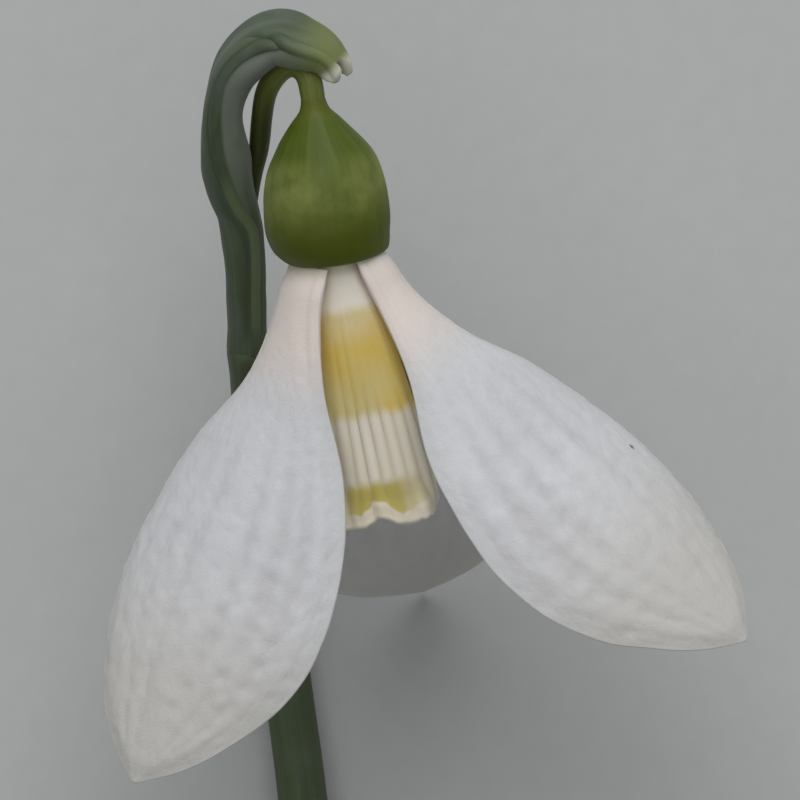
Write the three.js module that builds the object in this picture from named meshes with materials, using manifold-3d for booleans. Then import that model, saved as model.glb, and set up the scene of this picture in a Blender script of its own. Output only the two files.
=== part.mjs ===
// A snowdrop flower on its cut stem, laid down on a level surface.
//
// Millimetres, +Z up. The origin is at the middle of the bounding box's base, on the surface. The
// stem lies along -Y and the flower nods from its arched sheath, at the +Y end. The flower's own
// frame has its origin at the receptacle, where the petals leave the ovary: +Z runs to the mouth,
// +X to the front, which looks up from the surface, and +Y to the left petal.
//
// It rests on three low points: the back petal's tip, the bend of the stem and the cut end.

import * as THREE from "three";
import Module from "manifold-3d";
import { mergeVertices } from "three/addons/utils/BufferGeometryUtils.js";

const wasm = await Module();
wasm.setup();

const degrees = THREE.MathUtils.degToRad;
const point = (x, y, z) => new THREE.Vector3(x, y, z);

// ---------------------------------------------------------------- driving dimensions

const RECEPTACLE = point(-4.3, 32.8, 19.2); // where the flower's frame stands in the part's
const HEAD_LEAN = 13; // degrees that the flower's axis turns from -Y towards +X
const OVARY_LEAN = 8.6; // the same for the ovary, which hangs a little straighter
const HEAD_DROP = 15; // degrees that both axes point down to the surface
const ARCH_TILT = degrees(31); // the arch of stalk and sheath rises from the surface at this slope

const BLADE = 0.6; // thickness of petals and sheath
const OUTER_RIBS = 7; // lengthwise ribs of an outer petal
const OUTER_RIB_HEIGHT = 0.07;
const INNER_RIBS = 8;
const INNER_RIB_HEIGHT = 0.06;

const OUTER_LENGTH = 26.6;
const OUTER_FOOT_RADIUS = 2.35; // from the flower's axis to the middle of the claw's blade
const INNER_LENGTH = 13.4;
const INNER_FOOT_RADIUS = 1.55;
const FOOT_HEIGHT = -0.08; // of the claws' start, on the flower's axis
const NOTCH_DEPTH = 0.35; // the notch in an inner petal's rim
const NOTCH_HALF_WIDTH = 1 / 3; // as a share of the petal's half width
const SHOULDER_FROM = 0.35; // the rim falls back outside this share of the half width
const SHOULDER_FALL = 0.9;

const OVARY_LENGTH = 7.8;
const OVARY_LIFT = 0.32; // of the ovary's foot over the receptacle
const PEDICEL_RADIUS = 0.6;
const SPATHE_DEPTH = 1.46; // of the sheath's section towards its valves, over its breadth
const STYLE_LENGTH = 8.8;
const STAMENS = 6;
const STAMEN_RADIUS = 0.87; // from the flower's axis to each stamen
const STAMEN_HEIGHT = 6.4; // of their tips over the receptacle
const ANTHER_RADIUS = 0.42;
const FILAMENT_RADIUS = 0.2;
const ANTHER_FOOT = 1.5; // height of the anthers' foot over the receptacle
const ANTHER_TIP_RADIUS = 0.12;
const HEART_FOOT = -0.1; // stamens and style start at this height
const RING_INSIDE = 0.5; // radii and top of the ring that carries the stamens
const RING_OUTSIDE = 1.1;
const RING_TOP = 0.8;

// ---------------------------------------------------------------- fineness of the facets

const SPINE_STEPS = 120; // to follow a petal's midrib
const OUTER_ROWS = 20; // facets along a blade
const INNER_ROWS = 12;
const SPATHE_ROWS = 24;
const SPATHE_COLUMNS = 14;
const SCAPE_RINGS = 36;
const SCAPE_SIDES = 10;
const PEDICEL_RINGS = 24;
const PEDICEL_SIDES = 8;
const OVARY_RINGS = 13;
const OVARY_SIDES = 20;
const RING_SIDES = 18;
const STAMEN_SIDES = 6;
const STYLE_SIDES = 10;

// ---------------------------------------------------------------- curves and bodies

/** A smooth function through values at given stations: cubic, with slopes from the neighbours. */
function through(at, values) {
  const last = at.length - 1;
  const slopes = at.map((_, i) => {
    const a = Math.max(i - 1, 0);
    const b = Math.min(i + 1, last);
    return (values[b] - values[a]) / (at[b] - at[a]);
  });
  return (x) => {
    const t = Math.min(Math.max(x, at[0]), at[last]);
    let k = 0;
    while (k < last - 1 && t >= at[k + 1]) k += 1;
    const h = at[k + 1] - at[k];
    const u = (t - at[k]) / h;
    const rise = u * u * (3 - 2 * u);
    const start = u * (1 - u) * (1 - u) * h * slopes[k];
    const end = u * u * (1 - u) * h * slopes[k + 1];
    return values[k] + (values[k + 1] - values[k]) * rise + start - end;
  };
}

function geometryOf(positions, index) {
  const geometry = new THREE.BufferGeometry();
  geometry.setAttribute("position", new THREE.Float32BufferAttribute(positions, 3));
  geometry.setIndex(index);
  geometry.computeVertexNormals();
  return geometry;
}

/** The closed body of a blade: grid[row][column] are points on its middle surface. */
function bladeBody(grid, thickness) {
  const rows = grid.length;
  const columns = grid[0].length;
  const normalAt = (i, j) => {
    const along = point(0, 0, 0).subVectors(
      grid[Math.min(i + 1, rows - 1)][j],
      grid[Math.max(i - 1, 0)][j],
    );
    const across = point(0, 0, 0).subVectors(
      grid[i][Math.min(j + 1, columns - 1)],
      grid[i][Math.max(j - 1, 0)],
    );
    return along.cross(across).normalize();
  };
  const positions = [];
  for (const side of [0.5, -0.5]) {
    for (let i = 0; i < rows; i += 1) {
      for (let j = 0; j < columns; j += 1) {
        const p = grid[i][j].clone().addScaledVector(normalAt(i, j), side * thickness);
        positions.push(p.x, p.y, p.z);
      }
    }
  }
  const upper = (i, j) => i * columns + j;
  const lower = (i, j) => rows * columns + i * columns + j;
  const index = [];
  for (let i = 0; i < rows - 1; i += 1) {
    for (let j = 0; j < columns - 1; j += 1) {
      index.push(upper(i, j), upper(i + 1, j), upper(i + 1, j + 1));
      index.push(upper(i, j), upper(i + 1, j + 1), upper(i, j + 1));
      index.push(lower(i, j), lower(i + 1, j + 1), lower(i + 1, j));
      index.push(lower(i, j), lower(i, j + 1), lower(i + 1, j + 1));
    }
  }
  const rim = [];
  for (let j = 0; j < columns - 1; j += 1) rim.push([0, j]);
  for (let i = 0; i < rows - 1; i += 1) rim.push([i, columns - 1]);
  for (let j = columns - 1; j > 0; j -= 1) rim.push([rows - 1, j]);
  for (let i = rows - 1; i > 0; i -= 1) rim.push([i, 0]);
  rim.forEach(([i, j], k) => {
    const [p, q] = rim[(k + 1) % rim.length];
    index.push(upper(i, j), upper(p, q), lower(p, q));
    index.push(upper(i, j), lower(p, q), lower(i, j));
  });
  return geometryOf(positions, index);
}

/** The closed body of a round stalk along a curve: radiusAt(t) is its radius, t from 0 to 1. */
function stalkBody(curve, radiusAt, steps, sides) {
  const positions = [];
  const index = [];
  for (let i = 0; i <= steps; i += 1) {
    const t = i / steps;
    const centre = curve.getPointAt(t);
    const ahead = curve.getTangentAt(t);
    const side = point(0, 0, 1).cross(ahead).normalize();
    const top = ahead.clone().cross(side);
    for (let k = 0; k < sides; k += 1) {
      const turn = (2 * Math.PI * k) / sides;
      const p = centre.clone();
      p.addScaledVector(side, radiusAt(t) * Math.cos(turn));
      p.addScaledVector(top, radiusAt(t) * Math.sin(turn));
      positions.push(p.x, p.y, p.z);
    }
  }
  for (let i = 0; i < steps; i += 1) {
    for (let k = 0; k < sides; k += 1) {
      const a = i * sides + k;
      const b = i * sides + ((k + 1) % sides);
      index.push(a, b, b + sides, a, b + sides, a + sides);
    }
  }
  for (let k = 1; k < sides - 1; k += 1) {
    const end = steps * sides;
    index.push(0, k + 1, k, end, end + k, end + k + 1);
  }
  return geometryOf(positions, index);
}

function onlyPositions(geometry) {
  const bare = geometry.clone();
  for (const name of ["normal", "uv"]) bare.deleteAttribute(name);
  return mergeVertices(bare, 1e-4);
}

/** Closed geometries that cross, joined in one body. */
function joined(geometries) {
  const solids = geometries.map((geometry) => {
    const merged = onlyPositions(geometry);
    const mesh = new wasm.Mesh({
      numProp: 3,
      vertProperties: Float32Array.from(merged.attributes.position.array),
      triVerts: Uint32Array.from(merged.index.array),
    });
    return new wasm.Manifold(mesh);
  });
  const mesh = solids.reduce((sum, solid) => sum.add(solid)).getMesh();
  return geometryOf(Array.from(mesh.vertProperties), Array.from(mesh.triVerts));
}

// ---------------------------------------------------------------- petals

/**
 * The middle surface of a petal, as a function of t along it and v across it, from -1 to 1.
 * Its own frame has x outward, z along the flower's axis and y to the left.
 */
function petalSurface(petal) {
  const splay = through(petal.splayAt, petal.splay.map(degrees));
  const curl = through(petal.curlAt, petal.curl.map(degrees));
  const halfWidth = through(petal.widthAt, petal.halfWidths);
  const frameAt = (t) => {
    const lean = splay(t);
    const bend = degrees(petal.sideBend) * t * t;
    const roll = degrees(petal.roll) * THREE.MathUtils.smoothstep(t, 0, petal.rolledAt);
    const outward = point(Math.cos(lean), 0, -Math.sin(lean));
    const straight = point(Math.sin(lean), 0, Math.cos(lean));
    const ahead = straight.clone().multiplyScalar(Math.cos(bend)).add(point(0, Math.sin(bend), 0));
    const left = straight.multiplyScalar(-Math.sin(bend)).add(point(0, Math.cos(bend), 0));
    const back = outward.clone().multiplyScalar(Math.cos(roll)).addScaledVector(left, Math.sin(roll));
    const across = left.multiplyScalar(Math.cos(roll)).addScaledVector(outward, -Math.sin(roll));
    return { ahead, back, across };
  };
  const spine = [point(petal.footRadius, 0, FOOT_HEIGHT)];
  for (let k = 0; k < SPINE_STEPS; k += 1) {
    const { ahead } = frameAt((k + 0.5) / SPINE_STEPS);
    const step = ahead.multiplyScalar(petal.length / SPINE_STEPS);
    spine.push(spine[k].clone().add(step));
  }
  return (t, v) => {
    const { back, across } = frameAt(t);
    const k = Math.min(Math.floor(t * SPINE_STEPS), SPINE_STEPS - 1);
    const p = spine[k].clone().lerp(spine[k + 1], t * SPINE_STEPS - k);
    const angle = curl(t);
    const radius = halfWidth(t) / angle;
    const rib = petal.ribHeight(t) * Math.cos(Math.PI * petal.ribs * (v + 1));
    p.addScaledVector(across, (radius + rib) * Math.sin(angle * v));
    p.addScaledVector(back, (radius + rib) * Math.cos(angle * v) - radius);
    return p;
  };
}

/** The petal's body, with `rows` steps along it and two columns to a rib. */
function petalBody(petal, rows) {
  const surface = petalSurface(petal);
  const columns = 2 * petal.ribs;
  const grid = [];
  for (let i = 0; i <= rows; i += 1) {
    const line = [];
    for (let j = 0; j <= columns; j += 1) {
      const v = (2 * j) / columns - 1;
      line.push(surface((i / rows) * petal.reach(v), v));
    }
    grid.push(line);
  }
  return bladeBody(grid, BLADE);
}

const RIBS_END = 0.87; // an outer petal's ribs run out at this share of its length
const OUTER = {
  length: OUTER_LENGTH,
  footRadius: OUTER_FOOT_RADIUS,
  splayAt: [0, 0.12, 0.35, 0.7, 1],
  splay: [3, 30, 34, 38, 30], // degrees between midrib and flower axis
  curlAt: [0, 0.15, 0.4, 0.8, 1],
  curl: [38, 40, 37, 35, 15], // half the arc of a cross-section, in degrees
  widthAt: [0, 0.1, 0.22, 0.36, 0.5, 0.64, 0.78, 0.9, 0.97, 1],
  halfWidths: [1.6, 1.55, 2.65, 4.75, 6.1, 6.6, 5.8, 3.8, 1.8, 0.35],
  sideBend: 0, // degrees that the tip turns to the left
  roll: 0, // degrees that the blade turns about its midrib, all by this share of the length:
  rolledAt: 0.35,
  ribs: OUTER_RIBS,
  ribHeight: (t) => OUTER_RIB_HEIGHT * Math.sin(Math.PI * Math.min(t / RIBS_END, 1)),
  reach: () => 1,
};
const OUTER_LEFT = {
  ...OUTER,
  azimuth: 62,
  splay: [22, 27, 34, 38, 30],
  halfWidths: [1.8, 1.9, 2.75, 4.75, 6.1, 6.6, 5.8, 3.8, 1.8, 0.35],
  sideBend: 8,
  roll: -30,
};
const OUTER_RIGHT = { ...OUTER, azimuth: -62, sideBend: -8, roll: 22 };
const OUTER_BACK = {
  ...OUTER,
  azimuth: 179,
  length: 25.35,
  splay: [3, 22, 26, 26.7, 44],
  curl: [38, 40, 37, 35, 20],
  sideBend: 4,
};

const INNER = {
  length: INNER_LENGTH,
  footRadius: INNER_FOOT_RADIUS,
  splayAt: [0, 0.12, 0.35, 0.7, 0.9, 1],
  splay: [4, 13, 11, 6, 9, 24],
  curlAt: [0, 0.12, 0.3, 1],
  curl: [38, 46, 53, 53],
  widthAt: [0, 0.12, 0.3, 0.6, 0.85, 1],
  halfWidths: [1.1, 1.55, 2.25, 2.85, 3.15, 3.4],
  sideBend: 0,
  roll: 0,
  rolledAt: 1,
  ribs: INNER_RIBS,
  ribHeight: (t) => INNER_RIB_HEIGHT * Math.sin(Math.PI * t),
  reach: (v) => {
    const fromMiddle = Math.min(Math.abs(v) / NOTCH_HALF_WIDTH, 1);
    const notch = NOTCH_DEPTH * Math.cos((Math.PI / 2) * fromMiddle) ** 2;
    const shoulder = SHOULDER_FALL * Math.max(Math.abs(v) - SHOULDER_FROM, 0) ** 2;
    return 1 - (notch + shoulder) / INNER_LENGTH;
  },
};
const INNER_AZIMUTHS = { inner_petal_front: 10, inner_petal_left: 128, inner_petal_right: -112 };

// ---------------------------------------------------------------- heart of the flower

/** A solid of revolution about Z: the profile lists radius and height, from the bottom up. */
function turned(profile, sides) {
  return new THREE.LatheGeometry(profile, sides).rotateX(Math.PI / 2);
}

/** Anthers on short filaments, grown from one ring round the style. */
function stamensBody() {
  const ring = [
    [RING_INSIDE, HEART_FOOT],
    [RING_OUTSIDE, HEART_FOOT],
    [RING_OUTSIDE, RING_TOP],
    [RING_INSIDE, RING_TOP],
    [RING_INSIDE, HEART_FOOT],
  ].map(([r, z]) => new THREE.Vector2(r, z));
  const root = (HEART_FOOT + RING_TOP) / 2;
  const anther = [
    [0, root],
    [FILAMENT_RADIUS, root],
    [FILAMENT_RADIUS, ANTHER_FOOT],
    [ANTHER_RADIUS, ANTHER_FOOT + 0.4],
    [ANTHER_RADIUS, STAMEN_HEIGHT - 2],
    [ANTHER_TIP_RADIUS, STAMEN_HEIGHT],
    [0, STAMEN_HEIGHT],
  ].map(([r, z]) => new THREE.Vector2(r, z));
  const pieces = [turned(ring, RING_SIDES)];
  for (let k = 0; k < STAMENS; k += 1) {
    const stamen = turned(anther, STAMEN_SIDES);
    stamen.translate(STAMEN_RADIUS, 0, 0);
    stamen.rotateZ(((k + 0.5) * 2 * Math.PI) / STAMENS);
    pieces.push(stamen);
  }
  return joined(pieces);
}

function styleBody() {
  const profile = [
    [0, HEART_FOOT],
    [0.24, HEART_FOOT],
    [0.22, 4],
    [0.3, 7.6],
    [0.26, STYLE_LENGTH - 0.5],
    [0.1, STYLE_LENGTH],
    [0, STYLE_LENGTH],
  ];
  return turned(profile.map(([r, z]) => new THREE.Vector2(r, z)), STYLE_SIDES);
}

/** The ovary, a drop with its broad end on the petals; its axis bows a little to the side. */
function ovaryBody() {
  const radius = through(
    [0, 0.35, 0.85, 1.9, 2.95, 4, 5, 6.1, 7, 7.45, OVARY_LENGTH],
    [0.66, 0.82, 1.26, 2.1, 2.72, 3.03, 3.16, 3.17, 2.98, 2.78, 2.5],
  );
  const bow = through([0, 1.5, 2.5, 4.6, 6.8, OVARY_LENGTH], [0, 0.06, 0.03, 0.14, 0.2, -0.05]);
  const top = -OVARY_LENGTH - OVARY_LIFT;
  const profile = [new THREE.Vector2(0, top)];
  for (let k = 0; k <= OVARY_RINGS; k += 1) {
    const down = OVARY_LENGTH * (1 - Math.cos((Math.PI * k) / OVARY_RINGS)) * 0.5;
    profile.push(new THREE.Vector2(radius(down), top + down));
  }
  profile.push(new THREE.Vector2(0, -OVARY_LIFT));
  const body = turned(profile, OVARY_SIDES);
  const points = body.attributes.position;
  for (let i = 0; i < points.count; i += 1) {
    points.setY(i, points.getY(i) + bow(points.getZ(i) - top));
  }
  return body;
}

// ---------------------------------------------------------------- stalk and sheath
// Their places are measured from the receptacle, along the part's own axes.

const SCAPE_PATH = [
  [-4.76, -4.45, -7.45],
  [-4.65, -7, -9.1],
  [-4.45, -10.5, -11.8],
  [-4.1, -14.5, -15.2],
  [-3.7, -17.6, -17.2],
  [-3.1, -21.5, -17.93],
  [-2.3, -27.5, -17.6],
  [-1.1, -40, -17.3],
  [-0.7, -58, -17.25],
  [-1.8, -78, -17.78],
];
const PEDICEL_PATH = [
  [-4.75, -4.0, -7.15],
  [-4.7, -1.8, -5.9],
  [-4.76, 0.5, -4.62],
  [-4.75, 1.8, -3.93],
  [-4.6, 2.9, -3.45],
  [-4.32, 4.6, -2.66],
  [-4.02, 5.8, -1.8],
  [-3.82, 7.3, -0.6],
  [-3.6, 8.4, 0.3],
  [-3.2, 9.1, 1.05],
  [-2.6, 9.6, 1.75],
  [-2.05, 9.65, 2.13],
  [-1.6, 9.35, 2.32],
  [-1.38, 8.93, 2.33],
  [-1.285, 8.5, 2.28],
  [-1.184, 7.83, 2.122],
];
const SPATHE_PATH = [
  [-4.75, -4.2, -7.3],
  [-4.7, -1.8, -5.9],
  [-4.76, 0.5, -4.6],
  [-4.97, 2.5, -3.4],
  [-5.44, 4.1, -2.3],
  [-5.53, 6.25, -0.9],
  [-5.28, 8.2, 0.4],
  [-4.86, 9.5, 1.1],
  [-3.95, 10.45, 1.6],
  [-2.95, 10.85, 2.0],
  [-1.85, 10.6, 2.2],
  [-0.9, 10.2, 2.15],
  [-0.3, 9.5, 2.0],
  [-0.05, 8.6, 1.65],
];
const ARCH_SIDE = point(0, -Math.sin(ARCH_TILT), Math.cos(ARCH_TILT)); // square to the arch

const curveOf = (path) => new THREE.CatmullRomCurve3(path.map((p) => point(...p)));

function scapeBody() {
  const radius = through([0, 0.02, 0.05, 0.3, 1], [1.1, 1.22, 1.1, 1.32, 1.5]);
  return stalkBody(curveOf(SCAPE_PATH), radius, SCAPE_RINGS, SCAPE_SIDES);
}

function pedicelBody() {
  const radius = through([0, 0.35, 0.6, 0.85, 1], [0.4, 0.42, 0.52, PEDICEL_RADIUS, 0.68]);
  return stalkBody(curveOf(PEDICEL_PATH), radius, PEDICEL_RINGS, PEDICEL_SIDES);
}

/**
 * The sheath: a channel round the pedicel, open towards the flower. It splits at its end into two
 * pointed valves, the near one on the side that looks up.
 */
function spatheBody() {
  const curve = curveOf(SPATHE_PATH);
  const radius = through([0, 0.3, 0.5, 0.7, 0.85, 1], [0.85, 0.9, 1.22, 1.2, 1.15, 0.6]);
  const depth = through([0, 0.6, 0.8, 1], [1, 1, SPATHE_DEPTH, SPATHE_DEPTH]);
  const nearEdge = through(
    [0, 0.27, 0.34, 0.41, 0.48, 0.56, 0.615, 0.67, 0.74, 0.84, 0.92, 1],
    [176, 173, 162, 166, 162, 142, 123, 122, 126, 130, 130, 125].map(degrees),
  );
  const farEdge = through([0, 0.2, 0.32, 0.5, 1], [-150, -140, -96, -92, -80].map(degrees));
  const reach = through(
    [-1, -0.3, -0.05, 0.12, 0.36, 0.6, 0.8, 0.92, 1],
    [0.8, 0.975, 0.965, 0.95, 0.94, 0.968, 0.95, 0.91, 0.85],
  );
  const grid = [];
  for (let i = 0; i <= SPATHE_ROWS; i += 1) {
    const line = [];
    for (let j = 0; j <= SPATHE_COLUMNS; j += 1) {
      const v = (2 * j) / SPATHE_COLUMNS - 1;
      const u = i / SPATHE_ROWS;
      const t = u - (1 - Math.min(reach(v), 1)) * u ** 4;
      const ahead = curve.getTangentAt(t);
      const side = ARCH_SIDE.clone().addScaledVector(ahead, -ARCH_SIDE.dot(ahead)).normalize();
      const out = side.clone().cross(ahead);
      const turn = v < 0 ? -v * farEdge(t) : v * nearEdge(t);
      const p = curve.getPointAt(t);
      p.addScaledVector(out, radius(t) * Math.cos(turn));
      p.addScaledVector(side, radius(t) * depth(t) * Math.sin(turn));
      line.push(p);
    }
    grid.push(line);
  }
  return bladeBody(grid, BLADE);
}

// ---------------------------------------------------------------- materials and nodes

const matte = (color, roughness) => new THREE.MeshStandardMaterial({ color, roughness, metalness: 0 });
const MATERIALS = {
  white: matte("#c9c9cf", 0.6),
  cream: matte("#c8c0a4", 0.6),
  ovary: matte("#5c6a30", 0.45),
  leaf: matte("#4a5a44", 0.5),
  pedicel: matte("#66703a", 0.5),
  anther: matte("#c98f35", 0.7),
  style: matte("#d9dcc6", 0.5),
};

/** A group at the receptacle, turned so that its +Z is the axis of a flower with this lean. */
function nodding(lean) {
  const laid = new THREE.Matrix4().makeBasis(point(0, 0, 1), point(-1, 0, 0), point(0, -1, 0));
  laid.premultiply(new THREE.Matrix4().makeRotationX(degrees(HEAD_DROP)));
  laid.premultiply(new THREE.Matrix4().makeRotationZ(degrees(lean)));
  const group = new THREE.Group();
  group.position.copy(RECEPTACLE);
  group.quaternion.setFromRotationMatrix(laid);
  return group;
}

function piece(parent, name, geometry, material) {
  const mesh = new THREE.Mesh(geometry, material);
  mesh.name = name;
  parent.add(mesh);
  return mesh;
}

const snowdrop = new THREE.Group();
const head = nodding(HEAD_LEAN);
const seedHead = nodding(OVARY_LEAN);
const stem = new THREE.Group();
stem.position.copy(RECEPTACLE);
snowdrop.add(head, seedHead, stem);

piece(stem, "scape", scapeBody(), MATERIALS.leaf);
piece(stem, "spathe", spatheBody(), MATERIALS.leaf);
piece(stem, "pedicel", pedicelBody(), MATERIALS.pedicel);
piece(seedHead, "ovary", ovaryBody(), MATERIALS.ovary);
for (const [name, petal] of Object.entries({
  outer_petal_left: OUTER_LEFT,
  outer_petal_right: OUTER_RIGHT,
  outer_petal_back: OUTER_BACK,
})) {
  piece(head, name, petalBody(petal, OUTER_ROWS), MATERIALS.white).rotation.z = degrees(petal.azimuth);
}
for (const [name, azimuth] of Object.entries(INNER_AZIMUTHS)) {
  piece(head, name, petalBody(INNER, INNER_ROWS), MATERIALS.cream).rotation.z = degrees(azimuth);
}
piece(head, "stamens", stamensBody(), MATERIALS.anther);
piece(head, "style", styleBody(), MATERIALS.style);

export default snowdrop;
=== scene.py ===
# %% [markdown]
# # A snowdrop, picked and laid down
#
# A snowdrop is one nodding flower on a leafless stem. Three long white outer petals stand away from
# a short cup of three inner petals, which here carry yellow marks. A green ovary sits above them, and
# a sheath of two grown-together bracts arches over the thin stalk that holds it.
#
# The solids of the flower are already packed. This lesson dresses each of them in a finer mesh and a
# material built from nodes. The petals are thin curved sheets, so they are computed from a few curves
# rather than sculpted: the same curves then also say where a rib or a mark goes.

from math import pi

import bpy
import numpy as np
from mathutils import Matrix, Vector


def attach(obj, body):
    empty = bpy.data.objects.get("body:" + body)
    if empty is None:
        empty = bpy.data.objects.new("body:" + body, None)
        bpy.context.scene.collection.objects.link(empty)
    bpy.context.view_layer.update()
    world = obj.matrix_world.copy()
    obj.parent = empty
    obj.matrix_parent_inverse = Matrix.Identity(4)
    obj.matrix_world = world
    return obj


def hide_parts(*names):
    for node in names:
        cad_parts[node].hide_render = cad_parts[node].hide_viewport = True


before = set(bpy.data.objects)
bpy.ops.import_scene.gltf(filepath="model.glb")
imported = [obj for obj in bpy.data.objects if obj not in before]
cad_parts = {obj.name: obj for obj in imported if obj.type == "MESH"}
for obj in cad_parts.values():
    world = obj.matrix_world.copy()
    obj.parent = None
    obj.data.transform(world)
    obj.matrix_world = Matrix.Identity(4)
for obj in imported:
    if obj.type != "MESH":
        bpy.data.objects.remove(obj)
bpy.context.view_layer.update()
print("packed nodes:", len(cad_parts))

# %% [markdown]
# ## Numbers that the flower shares
#
# Everything is worked out in millimetres and scaled to metres once. The flower has a frame of its
# own: the origin is the receptacle, where the petals leave the ovary, +Z runs to the mouth, +X to the
# front and +Y to the left petal. Turning that frame once lays the whole head down.

# %% The flower's own frame
MM = 0.001
RECEPTACLE = np.array([-4.3, 32.8, 19.2])
HEAD_LEAN = 13  # degrees that the flower's axis turns from -Y towards +X
OVARY_LEAN = 8.6  # the same for the ovary, which hangs a little straighter
HEAD_DROP = 15  # degrees that both axes point down to the surface
LYING = np.array([[0.0, -1.0, 0.0], [0.0, 0.0, -1.0], [1.0, 0.0, 0.0]])


def turning(axis, degrees):
    """The matrix that turns round X, Y or Z (axis 0, 1 or 2)."""
    i, j = [(1, 2), (2, 0), (0, 1)][axis]
    c, s = np.cos(np.radians(degrees)), np.sin(np.radians(degrees))
    matrix = np.eye(3)
    matrix[i, i], matrix[j, j], matrix[i, j], matrix[j, i] = c, c, -s, s
    return matrix


def nodding(lean):
    """The matrix that lays down a flower whose axis has this lean."""
    return turning(2, lean) @ turning(0, HEAD_DROP) @ LYING


def placed(points, matrix):
    """Points of the flower's frame, in the part's."""
    return points @ matrix.T + RECEPTACLE


print("the mouth faces", np.round(nodding(HEAD_LEAN) @ [0, 0, 1], 2))

# %% [markdown]
# Petals, stalks and marks all follow smooth curves through a few values. One function makes such a
# curve: a cubic whose slope at each value comes from its two neighbours, so it never kinks. A second
# one eases from 0 to 1, and a third gives soft, seeded unevenness, which living tissue always has.

# %% Curves and unevenness
def through(at, values):
    """A smooth function through values at given stations."""
    at, values = np.asarray(at, float), np.asarray(values, float)
    last = len(at) - 1
    index = np.arange(last + 1)
    before, after = np.maximum(index - 1, 0), np.minimum(index + 1, last)
    slopes = (values[after] - values[before]) / (at[after] - at[before])

    def read(x):
        t = np.clip(x, at[0], at[-1])
        k = np.clip(np.searchsorted(at, t, side="right") - 1, 0, last - 1)
        h = at[k + 1] - at[k]
        u = (t - at[k]) / h
        rise = u * u * (3 - 2 * u)
        bend = u * (1 - u) ** 2 * h * slopes[k] - u * u * (1 - u) * h * slopes[k + 1]
        return values[k] + (values[k + 1] - values[k]) * rise + bend

    return read


def ease(start, end, x):
    """0 before start, 1 past end, and a smooth rise between."""
    u = np.clip((x - start) / (end - start), 0, 1)
    return u * u * (3 - 2 * u)


def uneven(x, y, seed):
    """Soft noise from -1 to 1 that changes about once in each unit of x and of y."""
    lattice = np.random.default_rng(seed).uniform(-1, 1, (64, 64))
    i, j = np.floor(x).astype(int), np.floor(y).astype(int)
    u, v = x - i, y - j
    u, v = u * u * (3 - 2 * u), v * v * (3 - 2 * v)
    low = lattice[i % 64, j % 64] * (1 - u) + lattice[(i + 1) % 64, j % 64] * u
    high = lattice[i % 64, (j + 1) % 64] * (1 - u) + lattice[(i + 1) % 64, (j + 1) % 64] * u
    return low * (1 - v) + high * v


print("a curve through 0, 1, 0 reads", float(through([0, 1, 2], [0, 1, 0])(0.5)), "at a half")

# %% [markdown]
# ## Turning grids of points into pieces
#
# A petal is a blade: two faces a few tenths of a millimetre apart, with a rounded edge. It starts as a
# grid of points on its middle surface. Each point is pushed out to both sides along the surface
# normal, and a loop of points halfway between closes and rounds the edge. A Solidify modifier could
# thicken a sheet too, but this way the thickness can change from claw to rim.

# %% A blade from a grid
RIM_BULGE = 0.35  # of the thickness, by which the edge's middle loop stands out


def make_mesh(name, points, faces, values):
    """An object with its points in millimetres and a number or more for each point."""
    mesh = bpy.data.meshes.new(name)
    mesh.from_pydata((points * MM).tolist(), [], faces)
    mesh.polygons.foreach_set("use_smooth", [True] * len(mesh.polygons))
    for key, numbers in values.items():
        layer = mesh.attributes.new(key, "FLOAT", "POINT")
        layer.data.foreach_set("value", np.asarray(numbers, np.float32).ravel())
    piece = bpy.data.objects.new(name, mesh)
    bpy.context.scene.collection.objects.link(piece)
    print(name, "has", len(faces), "faces")
    return piece


def normals_of(grid):
    """The unit normal at each point of a grid."""
    along, across = np.gradient(grid, axis=0), np.gradient(grid, axis=1)
    normal = np.cross(across, along)
    return normal / np.linalg.norm(normal, axis=-1, keepdims=True)


def blade(name, grid, thickness, values):
    """A closed sheet round a grid of rows by columns, with values at its points."""
    rows, columns = grid.shape[:2]
    normal = normals_of(grid)
    half = normal * np.asarray(thickness)[..., None] / 2
    rim = [(0, j) for j in range(columns - 1)]
    rim += [(i, columns - 1) for i in range(rows - 1)]
    rim += [(rows - 1, j) for j in range(columns - 1, 0, -1)]
    rim += [(i, 0) for i in range(rows - 1, 0, -1)]
    ri, rj = np.array(rim).T
    edge = grid[ri, rj]
    round_it = np.roll(edge, -1, 0) - np.roll(edge, 1, 0)
    outward = np.cross(round_it, normal[ri, rj])
    outward /= np.linalg.norm(outward, axis=1, keepdims=True) + 1e-9
    middle = grid.mean((0, 1))
    if np.sum(outward * (edge - middle)) < 0:
        outward = -outward
    loop = edge + outward * (np.asarray(thickness)[ri, rj] * RIM_BULGE)[:, None]
    points = np.concatenate([(grid + half).reshape(-1, 3), (grid - half).reshape(-1, 3), loop])
    corner = np.arange(rows * columns).reshape(rows, columns)
    a, b, c, d = corner[:-1, :-1], corner[1:, :-1], corner[1:, 1:], corner[:-1, 1:]
    upper = np.stack([a, d, c, b], -1).reshape(-1, 4)
    lower = np.stack([a, b, c, d], -1).reshape(-1, 4) + rows * columns
    top = corner[ri, rj]
    under, ring = top + rows * columns, np.arange(len(rim)) + 2 * rows * columns
    next_top, next_ring, next_under = (np.roll(line, -1) for line in (top, ring, under))
    outer = np.stack([top, ring, next_ring, next_top], -1)
    inner = np.stack([ring, under, next_under, next_ring], -1)
    both = {
        key: np.concatenate([np.ravel(numbers), np.ravel(numbers), np.asarray(numbers)[ri, rj]])
        for key, numbers in values.items()
    }
    faces = np.concatenate([upper, lower, outer, inner]).tolist()
    return make_mesh(name, points, faces, both)


# %% [markdown]
# Stem and stalk are round, so they are lofted: rings of points are set square to a path and joined.
# The ovary, style and anthers are turned shapes, which are rings round a straight line, so the same
# function makes them.

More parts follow.
